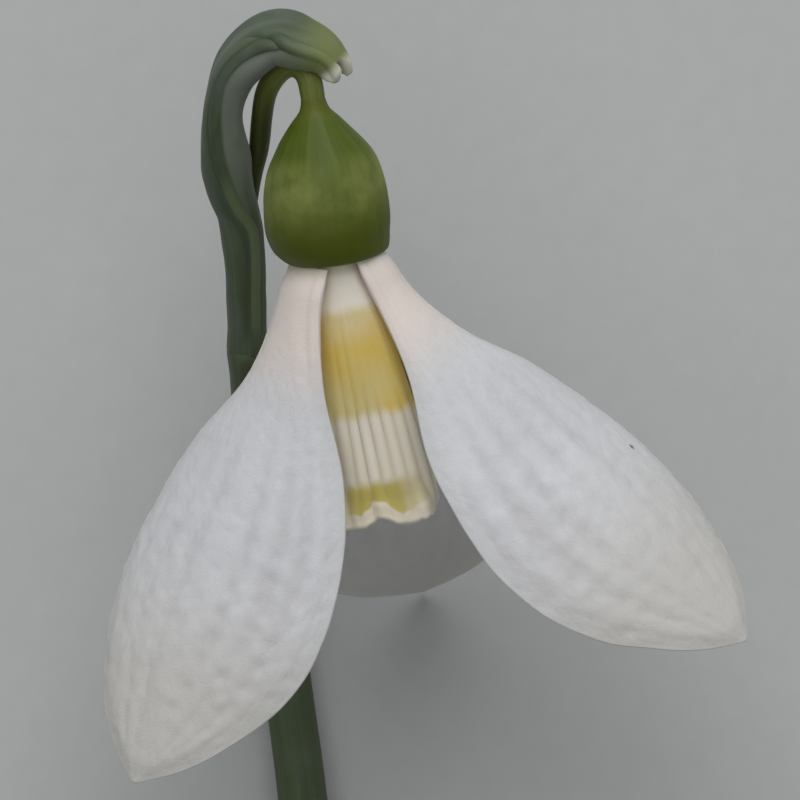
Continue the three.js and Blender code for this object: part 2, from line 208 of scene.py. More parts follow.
# %% A loft round a path
def curve_of(path):
    """A smooth curve through points, as a function of the share of its length."""
    path = np.asarray(path, float)
    length = np.concatenate([[0], np.cumsum(np.linalg.norm(np.diff(path, axis=0), axis=1))])
    share = length / length[-1]
    axes = [through(share, path[:, k]) for k in range(3)]
    return lambda t: np.stack([axis(t) for axis in axes], -1)


def loft_parts(centres, radii, side, ahead=None):
    """Points and faces of rings: centres (n, 3), radii (n, sides), and a direction across them."""
    if ahead is None:
        ahead = np.gradient(centres, axis=0)
    ahead = ahead / np.linalg.norm(ahead, axis=1, keepdims=True)
    first = np.cross(side, ahead)
    first /= np.linalg.norm(first, axis=1, keepdims=True)
    second = np.cross(ahead, first)
    count, sides = radii.shape
    angle = 2 * pi * np.arange(sides) / sides
    spoke = np.cos(angle)[None, :, None] * first[:, None] + np.sin(angle)[None, :, None] * second[:, None]
    points = (centres[:, None] + radii[..., None] * spoke).reshape(-1, 3)
    corner = np.arange(count * sides).reshape(count, sides)
    onward = np.roll(corner, -1, 1)
    faces = np.stack([corner[:-1], onward[:-1], onward[1:], corner[1:]], -1).reshape(-1, 4).tolist()
    faces += [corner[0, ::-1].tolist(), corner[-1].tolist()]
    return points, faces


def loft(name, centres, radii, side, values, ahead=None):
    """A closed piece of rings. Its values may be one for all, one for each ring, or one for each point."""
    values = {key: np.broadcast_to(numbers, radii.shape) for key, numbers in values.items()}
    return make_mesh(name, *loft_parts(centres, radii, side, ahead), values)


# %% [markdown]
# Every piece then takes its material and rides on the flower's only body, and the imported node that it
# stands for is hidden.

# %% Dress a piece and hide the imported part
def dress(piece, node, material):
    piece.data.materials.append(material)
    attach(piece, "root")
    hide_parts(node)


# %% [markdown]
# ## Nodes and colours
#
# Colours are written as sRGB hex, as a colour picker shows them, and turned to linear light by one
# function. One more function adds a node: its settings, its socket values and its links in one go.

# %% Helpers for materials
def linear(hex_colour):
    """The linear colour, with alpha 1, of an sRGB hex value."""
    channels = [int(hex_colour[k : k + 2], 16) / 255 for k in (1, 3, 5)]
    return (*[c / 12.92 if c <= 0.04045 else ((c + 0.055) / 1.055) ** 2.4 for c in channels], 1)


def add(tree, kind, values=None, links=None, **settings):
    """A new node with these socket values, links into its sockets, and settings."""
    made = tree.nodes.new("ShaderNode" + kind)
    for key, setting in settings.items():
        setattr(made, key, setting)
    for socket, value in (values or {}).items():
        made.inputs[socket].default_value = value
    for socket, source in (links or {}).items():
        tree.links.new(source, made.inputs[socket])
    return made


def new_material(name, values):
    """A material with its Principled shader set, ready for patterns."""
    material = bpy.data.materials.new(name)
    material.use_nodes = True
    tree = material.node_tree
    shader = tree.nodes["Principled BSDF"]
    for socket, value in values.items():
        shader.inputs[socket].default_value = value
    return material, tree, shader


def layered(tree, colour, layers):
    """A colour with others laid over it in turn. Colours are hex or sockets.

    A layer is a colour and its share. Where the share has to be worked out, the layer is a colour, a
    value, where that value gives none, where it gives most, how much that is, and how it rises.
    """
    for over, share, *span in layers:
        if span:
            none_at, most_at, most, rise = span
            share = add(
                tree,
                "MapRange",
                {"From Min": none_at, "From Max": most_at, "To Max": most},
                {"Value": share},
                interpolation_type=rise,
            ).outputs["Result"]
        node = add(tree, "Mix", links={"Factor": share}, data_type="RGBA")
        for socket, paint in (("A", colour), ("B", over)):
            target = next(s for s in node.inputs if s.name == socket and s.type == "RGBA")
            if isinstance(paint, str):
                target.default_value = linear(paint)
            else:
                tree.links.new(paint, target)
        colour = next(s for s in node.outputs if s.type == "RGBA")
    return colour


print("mid grey is", round(linear("#808080")[0], 3), "in linear light")

# %% [markdown]
# ## Petal tissue
#
# Snowdrop petals hold no white pigment. Their loose, air-filled cells scatter light, which makes them
# white, a little bluish in the shade and slightly translucent. Subsurface scattering is made for
# that: light enters, spreads by about the blade's thickness and leaves again. The skin itself is
# satin, about as rough as fine paper, with a refractive index near that of plant wax. Its ribs are
# real geometry and its cells are only bump.

# %% White petal material
CLOUDS_PER_METRE = 260.0  # faint patches of about 4 mm
CELLS_PER_METRE = 9000.0  # 0.11 mm; real cells are some 0.03 mm, too fine to show


def petal_material():
    material, tree, shader = new_material(
        "petal_tissue_white",
        {
            "Roughness": 0.5,
            "IOR": 1.42,
            "Subsurface Weight": 0.25,
            "Subsurface Radius": (0.9, 0.9, 0.85),
            "Subsurface Scale": 0.0004,
            "Specular IOR Level": 0.35,
            "Sheen Weight": 0.08,
        },
    )
    along, relief, edge, speck = [
        add(tree, "Attribute", attribute_name=key).outputs["Fac"]
        for key in ("along_mm", "relief", "edge_mm", "speck")
    ]
    place = add(tree, "TexCoord").outputs["Object"]
    cloud = add(
        tree, "TexNoise", {"Scale": CLOUDS_PER_METRE, "Detail": 3.0, "Roughness": 0.6}, {"Vector": place}
    ).outputs["Fac"]
    layers = [
        ("#dddee1", cloud, 0.4, 0.68, 0.55, "LINEAR"),
        ("#d8d8db", relief, 0.0, -0.1, 1.0, "LINEAR"),  # painted shade in the grooves
        ("#d9dbda", edge, 0.9, 0.1, 0.6, "LINEAR"),  # the thin rim
        ("#d6d4ce", along, 14.0, 24.0, 0.9, "SMOOTHSTEP"),  # the far half, painted a little darker as shade towards the tips
        ("#f9ece4", along, 7.5, 3.0, 1.0, "SMOOTHSTEP"),  # the claw, warmer, and painted lighter to offset its shade
        ("#bdc39a", along, 0.7, 0.1, 0.45, "SMOOTHSTEP"),  # its foot, green
        ("#2a241e", speck),
    ]
    tree.links.new(layered(tree, "#e6e7ea", layers), shader.inputs["Base Color"])
    cells = add(tree, "TexNoise", {"Scale": CELLS_PER_METRE}, {"Vector": place}).outputs["Fac"]
    bump = add(tree, "Bump", {"Strength": 0.4, "Distance": 0.00005}, {"Height": cells})
    tree.links.new(bump.outputs["Normal"], shader.inputs["Normal"])
    rough = add(
        tree,
        "MapRange",
        {"From Min": 0.35, "From Max": 0.65, "To Min": 0.45, "To Max": 0.58},
        {"Value": cloud},
    ).outputs["Result"]
    tree.links.new(rough, shader.inputs["Roughness"])
    return material


PETAL_WHITE = petal_material()
print("made", PETAL_WHITE.name)

# %% [markdown]
# ## The petal surface
#
# One surface serves all six petals. Its midrib leaves the receptacle and leans away from the axis by
# an angle that changes along it; each cross-section is an arc. `t` runs from claw to tip and `v` from
# one edge to the other, so a rib is a line of constant `v`.

# %% The middle surface of a petal
FOOT_HEIGHT = -0.5  # the claws start inside the ovary's rim, so no gap shows
SPINE_STEPS = 400  # short straight steps that the midrib is summed from


def petal_frames(petal, t):
    """The directions ahead, back (away from the cup) and across, along the midrib."""
    lean = through(petal["splay_at"], np.radians(petal["splay"]))(t)
    bend = np.radians(petal["side_bend"]) * t * t
    roll = np.radians(petal["roll"]) * ease(0, petal["rolled_at"], t)
    zero = np.zeros_like(lean)
    sideways = np.array([0.0, 1.0, 0.0])
    outward = np.stack([np.cos(lean), zero, -np.sin(lean)], -1)
    straight = np.stack([np.sin(lean), zero, np.cos(lean)], -1)
    bend, roll = bend[..., None], roll[..., None]
    ahead = np.cos(bend) * straight + np.sin(bend) * sideways
    left = np.cos(bend) * sideways - np.sin(bend) * straight
    back = np.cos(roll) * outward + np.sin(roll) * left
    across = np.cos(roll) * left - np.sin(roll) * outward
    return ahead, back, across


def half_width_of(petal, t):
    """Half the width of the flattened blade, in millimetres."""
    return through(petal["width_at"], petal["half_widths"])(t)


def petal_points(petal, t, v, relief):
    """Points of the surface, pushed out by the relief."""
    middle = (np.arange(SPINE_STEPS) + 0.5) / SPINE_STEPS
    steps = petal_frames(petal, middle)[0] * petal["length"] / SPINE_STEPS
    foot = np.array([[petal["foot_radius"], 0, FOOT_HEIGHT]])
    spine = np.concatenate([foot, foot + np.cumsum(steps, 0)])
    stations = np.linspace(0, 1, SPINE_STEPS + 1)
    centre = np.stack([np.interp(t, stations, spine[:, k]) for k in range(3)], -1)
    centre[..., 0] -= petal["tuck"] * (1 - ease(0, 0.06, t))
    back, across = petal_frames(petal, t)[1:]
    angle = through(petal["curl_at"], np.radians(petal["curl"]))(t)
    radius = half_width_of(petal, t) / angle
    sideways = (radius + relief) * np.sin(angle * v)
    outward = (radius + relief) * np.cos(angle * v) - radius
    return centre + sideways[..., None] * across + outward[..., None] * back


# %% [markdown]
# ## Outer petals
#
# The blade is spoon-shaped: a narrow claw, its widest part beyond the middle, a small point at the
# tip. The three start from the same numbers, and each then changes how it leans, rolls or bends to
# the side. Grooves are placed one by one, since no two petals have them alike.

# %% Outer petal data
OUTER = {
    "length": 27,
    "foot_radius": 2.35,
    "splay_at": [0, 0.12, 0.35, 0.7, 1],
    "splay": [3, 30, 34, 38, 30],
    "curl_at": [0, 0.15, 0.4, 0.8, 1],
    "curl": [38, 40, 37, 35, 15],
    "width_at": [0, 0.1, 0.22, 0.355, 0.494, 0.632, 0.77, 0.888, 0.955, 1],
    "half_widths": [1.4, 1.55, 2.65, 4.75, 6.1, 6.6, 5.8, 3.75, 1.85, 0.04],
    "side_bend": 0,
    "roll": 0,
    "rolled_at": 0.35,
    "tuck": 0.15,  # mm that the foot stands in, so that it hides under the ovary's rim
    "speck": None,
}
OUTER_PETALS = {
    "left": {
        **OUTER,
        "azimuth": 62,
        "splay": [24, 27, 34, 38, 30],
        "half_widths": [1.92, 1.92, 2.75, 4.75, 6.1, 6.6, 5.8, 3.75, 1.85, 0.04],
        "side_bend": 8,
        "roll": -30,
        "grooves": [-0.86, -0.66, -0.45, -0.19, 0.24, 0.52, 0.78],
        "depths": [0.08, 0.13, 0.15, 0.13, 0.12, 0.07, 0.05],
        "seed": 5,
    },
    "right": {
        **OUTER,
        "azimuth": -62,
        "side_bend": -8,
        "roll": 22,
        "grooves": [-0.78, -0.56, -0.34, -0.02, 0.29, 0.57, 0.86],
        "depths": [0.04, 0.05, 0.11, 0.09, 0.13, 0.16, 0.08],
        "speck": (0.604, -0.72),  # t and v of a speck of soil
        "seed": 11,
    },
    "back": {
        **OUTER,
        "azimuth": 179,
        "length": 25.6,
        "splay": [3, 22, 26, 26.7, 44],
        "curl": [38, 40, 37, 35, 20],
        "side_bend": 4,
        "grooves": [-0.84, -0.58, -0.3, 0.0, 0.31, 0.56, 0.82],
        "depths": [0.06, 0.1, 0.12, 0.12, 0.13, 0.1, 0.06],
        "seed": 23,
    },
}
print(len(OUTER_PETALS), "outer petals,", OUTER["length"], "mm long")

# %% [markdown]
# Seven soft grooves run along each petal, and the tissue puckers in them like seersucker, in dimples
# a little over a millimetre apart. They catch the light, so they are modelled and not only bump. The
# blade thins towards its edge, which light then shines through.

# %% Grooves, dimples and a crisp edge
ROWS, COLUMNS = 240, 150
GROOVE_WIDTH = 0.085  # as a share of the half width
DIMPLE_SPACING = 1.3  # mm, and the other sizes too
PUCKER_SIZE, PUCKER_HEIGHT = 0.6, 0.034
GRAIN_LENGTH, GRAIN_WIDTH, GRAIN_HEIGHT = 0.4, 0.22, 0.015
SWELL_LENGTH, SWELL_WIDTH, SWELL_HEIGHT = 5.5, 3.5, 0.04
HEM_AT, HEM_WIDTH, HEM_HEIGHT = 0.86, 0.1, 0.08  # the claw's raised margin; the first two are shares
FRILL_SPACING, FRILL_DEPTH = 1.7, 0.11
EDGE_THICKNESS, THICKENING, CLAW_EXTRA = 0.1, 0.3, 0.3


def outer_relief(petal, t, v):
    """How far the surface stands out of the smooth blade: grooves, puckers, grain and hem."""
    length, seed = petal["length"], petal["seed"]
    across = half_width_of(petal, t) * v
    drift = 0.03 * uneven(t * 5, v * 0 + 3.3, seed)
    growth = 0.82 * ease(0.2, 0.5, t) * (1 - ease(0.82, 0.98, t))
    relief = np.zeros_like(t * v)
    for k, (groove, depth) in enumerate(zip(petal["grooves"], petal["depths"])):
        centre = groove * (0.92 + 0.08 * np.cos(2 * pi * (t - 0.6))) + drift
        beads = 0.78 + 0.19 * uneven(t * length / DIMPLE_SPACING, v * 0 + 7.1 * k + 0.5, seed + 1)
        beads += 0.12 * np.cos(2 * pi * t * length / DIMPLE_SPACING + k) * ease(0.4, 0.55, t)
        relief -= depth * beads * np.exp(-(((v - centre) / GROOVE_WIDTH) ** 2))
    along = t * length
    pucker = PUCKER_HEIGHT * uneven(along / PUCKER_SIZE, across / PUCKER_SIZE, seed + 2)
    pucker *= ease(0.3, 0.55, t)
    grain = GRAIN_HEIGHT * uneven(along / GRAIN_LENGTH, across / GRAIN_WIDTH, seed + 5)
    swell = SWELL_HEIGHT * uneven(along / SWELL_LENGTH, across / SWELL_WIDTH, seed + 3)
    hem = HEM_HEIGHT * np.exp(-(((abs(v) - HEM_AT) / HEM_WIDTH) ** 2))
    hem *= ease(0, 0.03, t) * (1 - ease(0.16, 0.3, t))
    return growth * (relief + pucker) + grain * ease(0.05, 0.2, t) + swell * ease(0.2, 0.5, t) + hem


def outer_petal(name, petal):
    t = np.linspace(0, 1, ROWS + 1)[:, None] * np.ones((1, COLUMNS + 1))
    # Columns crowd towards the edges, where the rim has to look sharp.
    spread = np.linspace(-1, 1, COLUMNS + 1)
    v = np.ones((ROWS + 1, 1)) * (0.9 * spread + 0.1 * np.sin(spread * pi / 2))
    half_width = half_width_of(petal, t)
    relief = outer_relief(petal, t, v)
    frill = uneven(t * petal["length"] / FRILL_SPACING, np.sign(v) * 3.5 + 9, petal["seed"] + 4)
    frill *= ease(0.85, 1, abs(v)) * ease(0.3, 0.5, t)
    v_cut = v * (1 + FRILL_DEPTH / (half_width + 0.5) * frill)
    grid = petal_points(petal, t, v_cut, relief)
    edge = np.minimum((1 - abs(v)) * half_width, (1 - t) * petal["length"])
    thickness = EDGE_THICKNESS + THICKENING * ease(0, 1.3, edge)
    thickness += CLAW_EXTRA * ease(0, 0.05, t) * (1 - ease(0.05, 0.28, t))
    values = {
        "along_mm": t * petal["length"],
        "edge_mm": edge,
        "relief": relief,
        "speck": np.zeros_like(t),
    }
    if petal["speck"]:
        at, beside = petal["speck"]
        distance = np.hypot((t - at) * petal["length"], (v - beside) * half_width)
        values["speck"] = 1 - ease(0.07, 0.17, distance)
    matrix = nodding(HEAD_LEAN) @ turning(2, petal["azimuth"])
    return blade(name, placed(grid, matrix), thickness, values)


for side, petal in OUTER_PETALS.items():
    made = outer_petal(f"outer_petal_{side}_blade", petal)
    dress(made, f"outer_petal_{side}", PETAL_WHITE)

# %% [markdown]
# ## Inner petal tissue
#
# The inner petals are thicker and creamier, and yellow marks lie across them: a broad one over the
# base and a second along the notched rim. The marks are pigment in the ribs, so their lower borders
# run out in streaks from rib to rib. They are drawn from the distance along the petal, shifted a
# little by the ribs and by noise, and not painted on.

# %% Inner petal material
MOTTLES_PER_METRE = 330.0  # richer and paler yellow, about 3 mm across
FLECKS_PER_METRE = 900.0  # the ragged edge of a mark, about 1 mm
INNER_CELLS_PER_METRE = 8000.0  # 0.12 mm, again coarser than real


def marked_material():
    material, tree, shader = new_material(
        "inner_petal_tissue_marked",
        {
            "Roughness": 0.48,
            "IOR": 1.42,
            "Subsurface Weight": 0.5,
            "Subsurface Radius": (0.9, 0.85, 0.7),
            "Subsurface Scale": 0.0006,
            "Specular IOR Level": 0.35,
        },
    )
    along, ridge, upper, lower, rim = [
        add(tree, "Attribute", attribute_name=key).outputs["Fac"]
        for key in ("along_mm", "ridge", "upper_mark", "lower_mark", "rim")
    ]
    place = add(tree, "TexCoord").outputs["Object"]
    cloud = add(
        tree, "TexNoise", {"Scale": FLECKS_PER_METRE, "Detail": 4.0, "Roughness": 0.6}, {"Vector": place}
    ).outputs["Fac"]
    mottle = add(tree, "TexNoise", {"Scale": MOTTLES_PER_METRE}, {"Vector": place}).outputs["Fac"]
    shaken = add(tree, "Math", {1: 0.35}, {0: cloud}, operation="MULTIPLY").outputs["Value"]

    def pigment(colour, mark):
        """A layer of uneven pigment: noise is added to the mark before it is sharpened."""
        summed = add(tree, "Math", links={0: mark, 1: shaken}, operation="ADD").outputs["Value"]
        return colour, summed, 0.2, 1.15, 1.0, "SMOOTHSTEP"

    yellow = layered(tree, "#dccd90", [("#e1c563", mottle, 0.35, 0.65, 1.0, "LINEAR")])
    olive = layered(tree, "#c4b76a", [("#d0be6a", mottle, 0.35, 0.65, 1.0, "LINEAR")])
    layers = [
        ("#f4ecdc", ridge, -0.5, 1.0, 1.0, "LINEAR"),  # the ribs' crests painted lighter and their furrows darker: painted light and shade
        ("#fff3e4", along, 4.4, 2.4, 1.0, "SMOOTHSTEP"),  # paler above the mark, and painted lighter still to offset the ovary's shade
        ("#cfd0a8", along, 1.0, 0.4, 0.4, "SMOOTHSTEP"),  # green at the foot
        pigment(yellow, upper),
        pigment(olive, lower),
        ("#e8dfcb", rim),
    ]
    tree.links.new(layered(tree, "#dfd6c2", layers), shader.inputs["Base Color"])
    cells = add(tree, "TexNoise", {"Scale": INNER_CELLS_PER_METRE}, {"Vector": place}).outputs["Fac"]
    bump = add(tree, "Bump", {"Strength": 0.25, "Distance": 0.00003}, {"Height": cells})
    tree.links.new(bump.outputs["Normal"], shader.inputs["Normal"])
    rough = add(
        tree,
        "MapRange",
        {"From Min": 0.35, "From Max": 0.65, "To Min": 0.42, "To Max": 0.56},
        {"Value": cloud},
    ).outputs["Result"]
    tree.links.new(rough, shader.inputs["Roughness"])
    return material


PETAL_MARKED = marked_material()
print("made", PETAL_MARKED.name)

# %% [markdown]
# ## Inner petals
#
# Three short petals form the cup. Each is strongly arched and ribbed outside, and its rim thickens
# into a white, wavy lip that flares out and is notched in the middle. Each column of the grid ends
# where the rim's outline does, so the notch needs no cutting.

# %% Inner petal data and the rim's outline
INNER = {
    "length": 13.45,
    "foot_radius": 1.55,
    "splay_at": [0, 0.12, 0.35, 0.7, 0.88, 0.95, 1],
    "splay": [4, 13, 11, 6, 9, 22, 36],
    "curl_at": [0, 0.12, 0.3, 1],
    "curl": [38, 46, 53, 53],
    "width_at": [0, 0.12, 0.3, 0.6, 0.85, 1],
    "half_widths": [1.1, 1.55, 2.25, 2.85, 3.15, 3.4],
    "side_bend": 0,
    "roll": 0,
    "rolled_at": 1,
    "tuck": 0,
}
INNER_PETALS = {
    "front": {**INNER, "azimuth": 10, "lobe": 0.36, "seed": 31},
    "left": {**INNER, "azimuth": 128, "lobe": 0.1, "seed": 37},
    "right": {**INNER, "azimuth": -112, "lobe": 0, "seed": 41},
}
RIBS = 10
RIB_HEIGHT = 0.045
NOTCH_DEPTH = 0.35
NOTCH_HALF_WIDTH = 1 / 3  # as a share of the half width
SHOULDER_FROM = 0.35  # the rim falls back outside this share, more on the right
SHOULDER_FALL = {"right": 2.0, "left": 0.9}
SCALLOP, CRIMP = 0.14, 0.09  # depths of the rim's broad and fine waves
LIP_FROM = 0.9  # the share of the length where the lip begins


def inner_reach(v, petal):
    """The share of its length that the blade reaches at v: the rim's outline."""
    seed = petal["seed"]
    from_middle = np.minimum(abs(v) / NOTCH_HALF_WIDTH, 1)
    notch = NOTCH_DEPTH * np.cos(pi / 2 * from_middle) ** 2
    fall = np.where(v < 0, SHOULDER_FALL["right"], SHOULDER_FALL["left"])
    shoulder = fall * np.maximum(abs(v) - SHOULDER_FROM, 0) ** 2
    scallops = SCALLOP * uneven(v * 4.2 + 20, v * 0 + 1.5, seed)
    scallops += CRIMP * uneven(v * 13 + 40, v * 0 + 1.5, seed + 9)
    lobe = petal["lobe"] * np.exp(-(((v + 0.3) / 0.25) ** 2))
    return 1 - (notch + shoulder + scallops + 0.06 - lobe) / INNER["length"]


# %% [markdown]
# The marks are worked out with the shape, because both follow the ribs and the notch. The upper one
# fades in, deepens and ends in streaks. The lower one follows the rim and leaves a white border.

# %% Where the marks lie
# Distances in millimetres from the claw.
UPPER_START, UPPER_FULL, UPPER_END = (2.0, 2.9), (3.4, 5.6), (7.35, 8.45)
LOWER_START = (10.85, 11.8)
RIM_BORDER = 0.4  # the lower mark stops this far from the rim, and follows the notch


def inner_marks(petal, t, v, across, ridge):
    """The shares of upper mark, lower mark and white rim at each point."""
    seed = petal["seed"]
    along = t * petal["length"]
    ragged = 0.05 * ridge + 0.18 * uneven(v * 6, t * 0 + 4.5, seed + 5)
    upper = ease(*UPPER_START, along + 0.12 * uneven(v * 5, t * 0 + 8.5, seed + 6))
    upper = upper * (0.66 + 0.34 * ease(*UPPER_FULL, along))
    upper = upper * (1 - ease(*UPPER_END, along + ragged))
    arch = 0.3 * np.exp(-(((across - 0.2) / 0.55) ** 2))
    border = t[-1] * petal["length"] - RIM_BORDER - arch
    border = border + 0.08 * uneven(v * 16, t * 0 + 3.5, seed + 8)
    ragged = 0.08 * ridge + 0.25 * uneven(v * 6, t * 0 + 14.5, seed + 7)
    lower = ease(*LOWER_START, along + ragged) * (1 - ease(-0.3, 0.05, along - border))
    # It is fainter on the right and runs out before both edges.
    # Its faint right part also stands for painted shade over the cup's shaded right side.
    lower = lower * (1 - 0.5 * ease(0.2, 0.5, -v)) * (1 - ease(0.3, 0.75, v)) * (1 - ease(0.55, 0.95, -v))
    return upper, lower, ease(-0.25, 0.1, along - border)


# %% [markdown]
# The lip is part of the same sheet: its last rows bend outward, grow thicker, and rise and fall from
# side to side.

# %% The cup
INNER_ROWS, INNER_COLUMNS = 150, 112


def inner_petal(name, petal):
    seed, length = petal["seed"], petal["length"]
    v = np.ones((INNER_ROWS + 1, 1)) * np.linspace(-1, 1, INNER_COLUMNS + 1)
    row = np.linspace(0, 1, INNER_ROWS + 1)[:, None]
    t = row * inner_reach(v, petal)
    half_width = half_width_of(petal, t)
    sway = 0.7 * uneven(t * 3, v * 3.5 + 5, seed + 1)
    ridge = np.cos(pi * RIBS * (v + 1) + sway)
    strength = 0.15 + 0.65 * ease(0.48, 0.62, t) + 0.35 * uneven(t * 5, v * 4 + 11, seed + 2)
    ribbing = RIB_HEIGHT * ridge * strength * ease(0.04, 0.2, t) * (1 - ease(0.86, 0.95, t))
    flutter = 0.14 * np.cos(pi * 3.2 * v + 0.6) + 0.2 * uneven(v * 8 + 30, v * 0 + 2.5, seed + 3)
    relief = ribbing + flutter * ease(0.86, 1, t / t[-1]) + 0.05 * uneven(t * 5, v * 2 + 3, seed + 4)
    grid = petal_points(petal, t, v, relief)
    from_side = (1 - abs(v)) * half_width
    edge = np.minimum(from_side, (1 - row) * length)
    thickness = 0.16 + 0.3 * ease(0, 0.7, edge) + 0.14 * ease(LIP_FROM, 1, row) * ease(0, 0.5, from_side)
    upper, lower, rim = inner_marks(petal, t, v, v * half_width, ridge)
    values = {
        "along_mm": t * length,
        "ridge": ridge * strength,
        "upper_mark": upper,
        "lower_mark": lower,
        "rim": rim,
    }
    matrix = nodding(HEAD_LEAN) @ turning(2, petal["azimuth"])
    return blade(name, placed(grid, matrix), thickness, values)


for side, petal in INNER_PETALS.items():
    made = inner_petal(f"inner_petal_{side}_blade", petal)
    dress(made, f"inner_petal_{side}", PETAL_MARKED)

# %% [markdown]
# ## Green tissue
#
# Ovary, stalk, sheath and stem are living green skin under a thin wax. Chlorophyll gives a yellowish
# green; the wax scatters a little blue-grey light over it, most on the stem and sheath, which growers
# call bloom. Fine lines run lengthwise where the veins lie, some tenths of a millimetre apart. One
# function makes all of these skins: it lays lines, bloom and a piece's own colours over a base, and
# each piece sets its own amounts.

# %% Green skin material
VEIN_CHANGES_PER_MM = 0.09  # along the piece, so a vein line stays the same for some 11 mm
BLOOM_PER_METRE = 420.0  # rubbed patches of about 2 mm


def green_skin(name, base, line, bloom, overlays, roughness, lines_mm, bloom_most, vein=1.0):
    """A skin: base colour, vein lines, bloom, then overlays of a colour where a mesh value says."""
    material, tree, shader = new_material(
        name,
        {
            "Roughness": roughness,
            "IOR": 1.43,
            "Subsurface Weight": 0.12,
            "Subsurface Radius": (0.5, 0.7, 0.25),
            "Subsurface Scale": 0.0006,
            "Specular IOR Level": 0.32,
            "Coat Weight": 0.05,
            "Coat Roughness": 0.35,
        },
    )
    around, along, waxy = [
        add(tree, "Attribute", attribute_name=key).outputs["Fac"]
        for key in ("around_mm", "along_mm", "waxy")
    ]
    place = add(tree, "TexCoord").outputs["Object"]
    # Noise stretched along the piece makes vein lines: fine across, long along.
    across = add(tree, "Math", {1: 1 / lines_mm}, {0: around}, operation="MULTIPLY").outputs[0]
    length = add(
        tree, "Math", {1: VEIN_CHANGES_PER_MM}, {0: along}, operation="MULTIPLY"
    ).outputs[0]
    drawn = add(tree, "CombineXYZ", links={"X": across, "Y": length}).outputs["Vector"]
    veins = add(
        tree, "TexNoise", {"Scale": 1.0, "Detail": 3.0, "Roughness": 0.55}, {"Vector": drawn}
    ).outputs["Fac"]
    cloud = add(
        tree, "TexNoise", {"Scale": BLOOM_PER_METRE, "Detail": 3.0, "Roughness": 0.6}, {"Vector": place}
    ).outputs["Fac"]
    clouded = add(
        tree, "MapRange", {"From Min": 0.38, "From Max": 0.7, "To Min": 0.25}, {"Value": cloud}
    ).outputs["Result"]
    bloomed = add(tree, "Math", links={0: waxy, 1: clouded}, operation="MULTIPLY").outputs[0]
    bloomed = add(tree, "Math", {1: bloom_most}, {0: bloomed}, operation="MULTIPLY").outputs[0]
    layers = [(line, veins, 0.38, 0.7, vein, "LINEAR"), (bloom, bloomed)]
    for key, over in overlays.items():
        layers.append((over, add(tree, "Attribute", attribute_name=key).outputs["Fac"]))
    tree.links.new(layered(tree, base, layers), shader.inputs["Base Color"])
    rough = add(
        tree,
        "MapRange",
        {"From Max": 0.6, "To Min": roughness, "To Max": roughness + 0.18},
        {"Value": bloomed},
    ).outputs["Result"]
    tree.links.new(rough, shader.inputs["Roughness"])
    bump = add(tree, "Bump", {"Strength": 0.5, "Distance": 0.00003}, {"Height": veins})
    tree.links.new(bump.outputs["Normal"], shader.inputs["Normal"])
    return material


OVARY_SKIN = green_skin(
    "ovary_skin_glossy_green",
    base="#4f5f17",
    line="#6a7a2c",
    bloom="#a2a962",
    # darker towards the petals: partly a deeper green, partly painted shade
    overlays={"neck": "#6a722b", "ripe": "#515c05"},
    roughness=0.5,
    lines_mm=0.5,
    bloom_most=0.72,
    vein=0.6,
)
STALK_SKIN = green_skin(
    "stalk_skin_yellow_green",
    base="#69722f",
    line="#7c8440",
    bloom="#868d58",
    # painted shade on the stalk where the sheath hides it
    overlays={"sheathed": "#2c3414"},
    roughness=0.4,
    lines_mm=0.25,
    bloom_most=0.3,
)
STEM_SKIN = green_skin(
    "stem_skin_waxy_green",
    base="#49563b",
    line="#586643",
    bloom="#65725e",
    overlays={"cut": "#b9c39a"},
    roughness=0.42,
    lines_mm=0.45,
    bloom_most=0.8,
)
SHEATH_SKIN = green_skin(
    "sheath_skin_waxy_green",
    base="#445238",
    line="#5c694b",
    bloom="#69746b",
    overlays={
        "membrane": "#7f867a",
        "keel_green_and_shade": "#38452d",
        # the keel's own green, with painted shade on the near keel's shadow side
        "streak": "#76865c",
        "tip": "#848f57",
        "white": "#e4e3d0",
    },
    roughness=0.44,
    lines_mm=0.35,
    bloom_most=0.9,
)
print("made", [m.name for m in (OVARY_SKIN, STALK_SKIN, STEM_SKIN, SHEATH_SKIN)])

# %% [markdown]
# ## Ovary
#
# The ovary is a small green pear, widest just above the petals, which narrows into its stalk. It
# later swells into the seed pod. Three chambers inside leave faint vertical lines on the skin. It is
# a turned shape, with those lines as very shallow grooves.

# %% Turn the ovary
OVARY_LENGTH = 7.8
OVARY_LIFT = 0.32  # mm between its wide end and the receptacle
# Distances down from the stalk, and the radii there.
DOWN_AT = [-0.3, 0, 0.35, 0.85, 1.9, 2.95, 4, 5, 6.1, 7, 7.4, 7.7, 7.8]
OVARY_RADII = [0.6, 0.66, 0.8, 1.24, 2.08, 2.72, 3.03, 3.16, 3.17, 2.98, 2.8, 2.58, 2.28]
BOW_AT, BOW = [0, 1.5, 2.5, 4.6, 6.8, 7.8], [0, 0.06, 0.03, 0.14, 0.2, -0.05]
RINGS, SIDES = 90, 96
LINES, LINE_HEIGHT, FURROW_HEIGHT = 18, 0.01, 0.03
LUMP_SIZE, LUMP_HEIGHT = 2.4, 0.05

